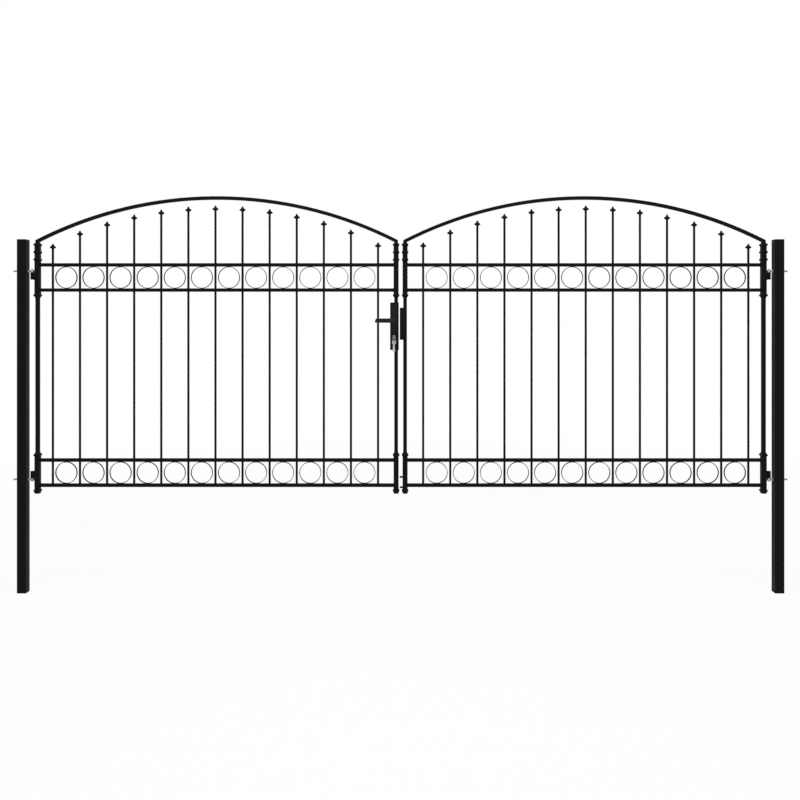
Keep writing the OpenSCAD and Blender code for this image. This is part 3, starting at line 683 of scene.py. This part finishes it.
rail_z = {}
for rail in RAILS:
    low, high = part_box("left_" + rail)
    rail_z[rail] = (low.z + high.z) / 2
for side in SIDES:
    for end in ("hinge", "meeting"):
        node = side + "_" + end + "_sleeves"
        low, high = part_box(node)
        stile_low, stile_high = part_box(side + "_" + end + "_stile")
        x = (low.x + high.x) / 2
        bore = (stile_high.y - stile_low.y) / 2 + sleeve_gap
        lip = bore + lip_wall

        upper_end = rail_z["upper_ring_rail"] - sleeve_overrun
        crown_low = rail_z["top_rail"] + collar_from_rail
        crown_high = high.z - sleeve_rim - collar_height / 2
        crown_middle = (crown_low + crown_high) / 2
        upper = [(lip, upper_end), (sleeve_half, upper_end + sleeve_taper)]
        for z in (rail_z["upper_ring_rail"] - collar_from_rail, crown_low, crown_middle, crown_high):
            upper += collar_steps(z)
        upper += [(sleeve_half, high.z - rim_bevel), (sleeve_half - rim_bevel, high.z)]
        upper += [(bore, high.z), (bore, upper_end)]

        lower_end = rail_z["lower_ring_rail"] + sleeve_overrun
        lower = [(sleeve_half - foot_round, low.z), (sleeve_half - rim_bevel, low.z + rim_bevel)]
        lower += [(sleeve_half, low.z + foot_round)]
        for z in (rail_z["bottom_rail"] - collar_from_rail, rail_z["lower_ring_rail"] + collar_from_rail):
            lower += collar_steps(z)
        lower += [(sleeve_half, lower_end - sleeve_taper), (lip, lower_end)]
        lower += [(bore, lower_end), (bore, low.z + sleeve_foot)]

        shells = [loft([square_ring(x, z, half, cast_corner) for half, z in upper], closed=True),
                  loft([square_ring(x, z, half, cast_corner) for half, z in lower])]
        finished(node + "_cast", solid_mesh(node, shells), powder_coat,
                 side + "_leaf", "black_powder_coat", node)


# Hinge barrels
# Turned barrels with a welded-in pin that turns in the eye bolt, on a short web to the sleeve. The
# upper pin points up and the lower one down, so that the leaf can't be lifted off.
barrel_edge = 0.8 * MM
for side in SIDES:
    node = side + "_hinge_barrels"
    finished(node + "_turned", softened(node, barrel_edge), powder_coat,
             side + "_leaf", "black_powder_coat", node)


# Weld beads
# Fillet welds round the rails' ends, round the bars where they pass the rails, and round the hinge webs.
# They are laid by hand, so each bead swells and thins a little, and the powder coat covers them.
bead_r = 1.5 * MM
bar_bead_r = 0.9 * MM
bead_step = 1.6 * MM
bead_lump = 3 * MM
bead_thin = 0.7
bead_thick = 1.25
rail_corner = 1.5 * MM
web_corner = 1 * MM
web_t = 12 * MM
barrel_h = 38 * MM
bearing_gap = 0.3 * MM

bead_tree, given = new_tree("weld bead", Width="Float", Height="Float", Corner="Float", Bead="Float",
                            Turn="Rotation", Coating="Material")
seam = add(bead_tree, "GeometryNodeCurvePrimitiveQuadrilateral", {
    "Width": given["Width"], "Height": given["Height"]}, mode="RECTANGLE")
bent = add(bead_tree, "GeometryNodeFilletCurve", {
    "Curve": seam.outputs[0], "Count": 6, "Radius": given["Corner"], "Limit Radius": True}, mode="POLY")
fine = add(bead_tree, "GeometryNodeResampleCurve", {
    "Curve": bent.outputs[0], "Length": bead_step}, mode="LENGTH")
lumps = add(bead_tree, "ShaderNodeTexNoise", {"Scale": 1 / bead_lump, "Detail": 1.0})
swell = add(bead_tree, "ShaderNodeMapRange", {
    "Value": lumps.outputs["Fac"], "From Min": noise_low, "From Max": noise_high,
    "To Min": bead_thin, "To Max": bead_thick})
bead = add(bead_tree, "GeometryNodeCurvePrimitiveCircle", {"Resolution": 6, "Radius": given["Bead"]})
swept = add(bead_tree, "GeometryNodeCurveToMesh", {
    "Curve": fine.outputs[0], "Profile Curve": bead.outputs[0], "Scale": swell.outputs[0]})
smooth = add(bead_tree, "GeometryNodeSetShadeSmooth", {"Geometry": swept.outputs[0]})
placed(bead_tree, given, smooth.outputs[0])

upright = (0, math.pi / 2, 0)
level = (0, 0, 0)
low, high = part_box("left_bottom_rail")
rail_size = high.z - low.z
lower_eye, upper_eye = hinge_heights
web_drop = eye_thickness / 2 + bearing_gap + barrel_h / 2
for side in SIDES:
    ends = []
    passes = []
    for rail in RAILS:
        low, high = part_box(side + "_" + rail)
        ends += [(x, 0, rail_z[rail]) for x in (low.x, high.x)]
        for top in bar_tops[side]:
            passes.append((top.x, 0, high.z))
            if rail != "bottom_rail":
                passes.append((top.x, 0, low.z))
    sleeve_low, sleeve_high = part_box(side + "_hinge_sleeves")
    web_x = (sleeve_low.x + sleeve_high.x) / 2 - INWARD[side] * sleeve_half
    webs = [(web_x, 0, upper_eye - web_drop), (web_x, 0, lower_eye + web_drop)]
    beads = [
        grow("rail beads", bead_tree, ends, Width=rail_size, Height=rail_size, Corner=rail_corner,
             Bead=bead_r, Turn=upright, Coating=powder_coat),
        grow("web beads", bead_tree, webs, Width=barrel_h, Height=web_t, Corner=web_corner,
             Bead=bead_r, Turn=upright, Coating=powder_coat),
        grow("bar beads", bead_tree, passes, Width=2 * bar_r, Height=2 * bar_r, Corner=bar_r,
             Bead=bar_bead_r, Turn=level, Coating=powder_coat)]
    finished(side + "_weld_beads", solid_mesh("weld beads", [], beads), powder_coat,
             side + "_leaf", "black_powder_coat")


# Lock case
# A box of folded sheet steel, welded into the left leaf's meeting stile and coated with it. Its edges
# are bent, so they are rounded, and the latch and the dead bolt come out of slots in its face.
case_edge = 1.4 * MM
finished("lock_case_folded", softened("lock_case", case_edge), powder_coat,
         "left_leaf", "black_powder_coat", "lock_case")
paint("lock_bolts", zinc_plate)


# Lock plates
# Moulded plates on both faces of the case, with a round rose for the lever and a hole for the cylinder.
# Two countersunk screws with a cross recess hold each plate, one near its top and one near its foot.
trim_colour = "12120F"
trim_roughness = 0.45
trim_shine = 0.09
plate_edge = 0.7 * MM
plate_t = 3 * MM
screw_r = 3.6 * MM
screw_from_end = 11 * MM
screw_steps = 48
rim_slope = 0.1 * MM
rim_height = 0.3 * MM
dome_r = 2.8 * MM
dome_height = 0.7 * MM
crown_height = 0.9 * MM
recess_r = 1.9 * MM
recess_half = 0.45 * MM
recess_floor = -0.6 * MM
recess_taper = 0.75

lock_trim = moulded_plastic("satin_black_lock_trim", trim_colour, trim_roughness, trim_shine)
finished("lock_plates_moulded", softened("lock_plates", plate_edge), lock_trim,
         "left_leaf", "black_lock_trim", "lock_plates")

turns = full_turn(screw_steps)
cross = [recess_half / max(min(abs(math.cos(a)), abs(math.sin(a))), recess_half / recess_r) for a in turns]
rows = [([r] * screw_steps, out)
        for r, out in ((screw_r, 0.0), (screw_r - rim_slope, rim_height), (dome_r, dome_height))]
rows += [(cross, crown_height), ([recess_taper * r for r in cross], recess_floor)]
screw = solid_mesh("plate screw", [loft([
    [Vector((r * math.cos(a), -out, r * math.sin(a))) for a, r in zip(turns, row)] for row, out in rows])])
plate_low, plate_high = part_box("lock_plates")
case_low, case_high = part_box("lock_case")
plate_x = (plate_low.x + plate_high.x) / 2
heights = (plate_low.z + screw_from_end, plate_high.z - screw_from_end)
screws = [repeated("screws", screw, [(plate_x, y, z) for z in heights], powder_coat, (0, 0, turn))
          for y, turn in ((case_low.y - plate_t, 0), (case_high.y + plate_t, math.pi))]
finished("plate_screws", solid_mesh("plate screws", [], screws), powder_coat,
         "left_leaf", "black_powder_coat")


# Cylinder
# A profile cylinder of nickel-plated brass, held by one long screw through the lock case's face.
# The plug that the key turns stands a little proud at each end, with a thin rim round it.
# The cylinder's nickel is painted far darker than the keys' nickel. This is painted shade that stands for
# the dark reflection on the cylinder's face.
cylinder_shade_colour = "73726C"
cylinder_edge = 0.5 * MM
plug_r = 6.6 * MM
plug_rim = 0.7 * MM
plug_proud = 0.5 * MM
plug_bevel = 0.2 * MM
nickel_roughness_low = 0.18
nickel_roughness_high = 0.36
nickel_dulling = 0.8
brush_width = 0.2 * MM
brush_length = 5.88 * MM
brush_depth = 0.05 * MM
brush_strength = 0.1


def brushed_nickel(name, hex_colour):
    """Nickel plate over brushed brass: fine upright lines that differ a little in tone and gloss."""
    made, tree = new_material(name)
    place = add(tree, "ShaderNodeTexCoord").outputs["Object"]
    drawn = add(tree, "ShaderNodeMapping", {
        "Vector": place, "Scale": (1 / brush_width, 1 / brush_width, 1 / brush_length)})
    lines = add(tree, "ShaderNodeTexNoise", {
        "Vector": drawn.outputs[0], "Scale": 1.0, "Detail": 3.0}).outputs["Fac"]
    dull = [c * nickel_dulling for c in linear(hex_colour)[:3]] + [1.0]
    colour = add(tree, "ShaderNodeMix", {0: lines, 6: linear(hex_colour), 7: dull}, data_type="RGBA")
    gloss = add(tree, "ShaderNodeMapRange", {
        "Value": lines, "To Min": nickel_roughness_low, "To Max": nickel_roughness_high})
    relief = add(tree, "ShaderNodeBump", {
        "Height": lines, "Strength": brush_strength, "Distance": brush_depth})
    metal = add(tree, "ShaderNodeBsdfPrincipled", {
        "Base Color": colour.outputs[2], "Roughness": gloss.outputs[0], "Normal": relief.outputs[0],
        "Metallic": 1.0})
    add(tree, "ShaderNodeOutputMaterial", {"Surface": metal.outputs[0]})
    return made


# Nickel with painted shade: the same brushed plate as the keys, in a much darker colour for the cylinder's
# dark reflection.
nickel_painted_shade = brushed_nickel("nickel_painted_shade", cylinder_shade_colour)
low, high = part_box("lock_cylinder")
plug_z = high.z - (high.x - low.x) / 2
section = (
    (plug_r, -plug_proud),
    (plug_r, plug_proud - plug_bevel),
    (plug_r - plug_rim / 3, plug_proud),
    (plug_r - plug_rim, plug_proud),
    (plug_r - plug_rim, -plug_proud),
)
rims = []
for way in (-1, 1):
    rims.append(loft([ring((plate_x, way * (high.y + out), plug_z), AXIS_X, AXIS_Z, r, r)
                      for r, out in section], closed=True))
body = softened("lock_cylinder", cylinder_edge)
finished("lock_cylinder_turned", solid_mesh("cylinder", rims, [body]), nickel_painted_shade,
         "left_leaf", "nickel", "lock_cylinder")


# Keys
# Three flat keys of nickel-plated brass on a split ring of spring wire. One sits in the cylinder and
# carries the ring, and the other two hang from it and lean apart. All are milled with the same notches.
bow_r = 11 * MM
bow_steps = 40
bow_hole_r = 4 * MM
hole_steps = 30
key_t = 2.2 * MM
key_edge = 0.3 * MM
blade_half = 4 * MM
seated_l = 7.7 * MM
blade_l = 40 * MM
nose_back = 2 * MM
nose_height = 0.5 * MM
nose_under = 3 * MM
notch_start = 5.5 * MM
notch_pitch = 4 * MM
notch_run = 1 * MM
notch_depths = [d * MM for d in (1.2, 2.4, 0.8, 2.0, 1.5, 2.6, 1.0)]
ring_turn = math.radians(35)
key_turn = math.radians(70)
key_leans = (math.radians(6), math.radians(-4))
key_pitch = 2.6 * MM
key_ring_r = 12 * MM
key_wire_r = 0.9 * MM
key_gap = 0.3 * MM
key_colour = "C9C7BF"


def flat_key(name, blade, centre, along, across, through):
    """A key cut from sheet, with its bow's hole at the centre and its blade in the direction along."""
    shoulder = math.degrees(math.asin(blade_half / bow_r))
    tip = bow_r + blade
    outline = arc(0, 0, bow_r, 360 - shoulder, shoulder, bow_steps)
    if blade > 2 * bow_r:
        outline += [(tip - nose_back, blade_half), (tip, nose_height), (tip - nose_under, -blade_half)]
        for k, depth in enumerate(notch_depths):
            start = tip - notch_start - k * notch_pitch
            cut = depth - blade_half
            outline += [(start, -blade_half), (start - notch_run, cut)]
            outline += [(start - 2 * notch_run, cut), (start - 3 * notch_run, -blade_half)]
    else:
        outline += [(tip, blade_half), (tip, -blade_half)]
    hole = arc(0, 0, bow_hole_r, 360, 360 / hole_steps, hole_steps - 1)
    curve = bpy.data.curves.new(name, "CURVE")
    curve.dimensions = "2D"
    curve.fill_mode = "BOTH"
    curve.extrude = key_t / 2 - key_edge
    curve.bevel_depth = key_edge
    curve.offset = -key_edge
    for points in (outline, hole):
        spline = curve.splines.new("POLY")
        spline.points.add(len(points) - 1)
        spline.use_cyclic_u = True
        for point, (u, v) in zip(spline.points, points):
            point.co = (u, v, 0, 1)
    carrier = bpy.data.objects.new(name, curve)
    scene.collection.objects.link(carrier)
    graph = bpy.context.evaluated_depsgraph_get()
    mesh = bpy.data.meshes.new_from_object(carrier.evaluated_get(graph))
    bpy.data.objects.remove(carrier)
    mesh.transform(Matrix.Translation(centre) @ Matrix((along, across, through)).transposed().to_4x4())
    return mesh


satin_nickel = brushed_nickel("satin_nickel", key_colour)
low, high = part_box("lock_keys")
seated = Vector((plate_x, low.y + bow_r, high.z - bow_r))
hanging = Vector((plate_x, seated.y, low.z + bow_r + blade_l))
ring_place = Vector((plate_x, seated.y, seated.z - bow_hole_r + key_wire_r + key_gap - key_ring_r))
turned = Vector((math.cos(key_turn), math.sin(key_turn), 0))
sideways = Vector((-math.sin(key_turn), math.cos(key_turn), 0))
split_ring = grow(
    "split ring", coil_tree, [ring_place + AXIS_Y * key_wire_r / 2], Turns=2.0, Radius=key_ring_r,
    Rise=key_wire_r, Wire=key_wire_r / 2, Sides=8, Turn=(math.pi / 2, 0, ring_turn), Coating=satin_nickel)
bunch = [flat_key("seated key", seated_l, seated, AXIS_Y, AXIS_Z, AXIS_X), split_ring]
for way, lean in zip((1, -1), key_leans):
    down = sideways * math.sin(lean) - AXIS_Z * math.cos(lean)
    across = sideways * math.cos(lean) + AXIS_Z * math.sin(lean)
    centre = hanging + turned * way * key_pitch / 2
    bunch.append(flat_key("hanging key", blade_l, centre, down, across, turned))
finished("lock_keys_cut", solid_mesh("keys", [], bunch), satin_nickel, "left_leaf", "nickel", "lock_keys")


# Lever
# One lever of moulded nylon on each face, both pinned to the square spindle that passes through the lock.
# The flat grip has rounded edges and a round hub, and its slanted tip turns back towards the gate.
# Its mould is smoother than the plates' one, so it shines a little more.
lever_roughness = 0.4
lever_shine = 0.14
grip_t = 12 * MM
grip_return = 8 * MM
grip_squareness = 3.2
grip_steps = 32
tip_half = 11 * MM
spindle_half = 4 * MM
spindle_squareness = 14
neck_r = 9 * MM
neck_lift = 0.3 * MM
neck_bevel = 0.6 * MM

# Angles round the hub, then shares of the grip's length with how full its section is there.
hub_angles = (82, 66, 50, 34, 17, 0)
grip_fullness = ((0.2, 1), (0.4, 1), (0.6, 1), (0.8, 1), (0.85, 1), (0.9, 1), (0.94, 1),
                 (0.975, 0.97), (0.992, 0.85), (1.0, 0.6))

# Distances from the grip's middle, and how much wider the neck is there, in millimetres.
neck_flare = ((13, 0.0), (9, 0.6), (5.5, 2.0), (0, 2.2))

low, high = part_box("lever_handles")
hub_r = (high.z - low.z) / 2
lever_l = high.x - low.x - hub_r
spindle = Vector((high.x - hub_r, 0, (low.z + high.z) / 2))
grip_y = high.y - grip_t / 2
bend_l = lever_l - grip_t - grip_return
slant = 2 * tip_half / 3
stations = []
for angle in hub_angles:
    a = math.radians(angle)
    stations.append((-hub_r * math.sin(a), hub_r * math.cos(a), grip_t / 2 * math.sqrt(math.cos(a))))
for share, fullness in grip_fullness:
    half = hub_r + (tip_half - hub_r) * share
    stations.append((lever_l * share, half * fullness, grip_t / 2 * fullness))
neck = [(case_high.y + neck_lift, neck_r - neck_bevel), (case_high.y + neck_lift + neck_bevel, neck_r)]
neck += [(grip_y - back * MM, neck_r + wider * MM) for back, wider in neck_flare]
parts = [loft([
    ring(spindle + AXIS_Y * y, AXIS_X, AXIS_Z, spindle_half, spindle_half, spindle_squareness)
    for y in (-grip_y, grip_y)])]
for way in (-1, 1):
    outlines = []
    for along, half_h, half_t in stations:
        bend = max(along - bend_l, 0) / (lever_l - bend_l)
        centre = spindle + AXIS_Y * way * (grip_y - grip_return * bend) - AXIS_X * along
        row = ring(centre, AXIS_Y, AXIS_Z, half_t, half_h, grip_squareness, grip_steps)
        outlines.append([p + AXIS_X * bend * slant * (1 + (p.z - spindle.z) / tip_half) / 2 for p in row])
    parts.append(loft(outlines))
    parts.append(loft([ring(spindle + AXIS_Y * way * y, AXIS_X, AXIS_Z, r, r) for y, r in neck]))
lever_trim = moulded_plastic("satin_black_nylon", trim_colour, lever_roughness, lever_shine)
finished("lever_handles_moulded", solid_mesh("lever", parts), lever_trim,
         "lever", "black_lock_trim", "lever_handles")


# Keeper and stop lugs
# A channel of folded sheet welded over the right leaf's meeting stile, with openings for the latch and
# the dead bolt. Two round lugs on the sleeve below stop the leaves from knocking together.
keeper_edge = 0.7 * MM
lug_edge = 1.0 * MM
finished("lock_keeper_folded", softened("lock_keeper", keeper_edge), powder_coat,
         "right_leaf", "black_powder_coat", "lock_keeper")
finished("stop_lugs_cut", softened("stop_lugs", lug_edge), powder_coat,
         "right_leaf", "black_powder_coat", "stop_lugs")
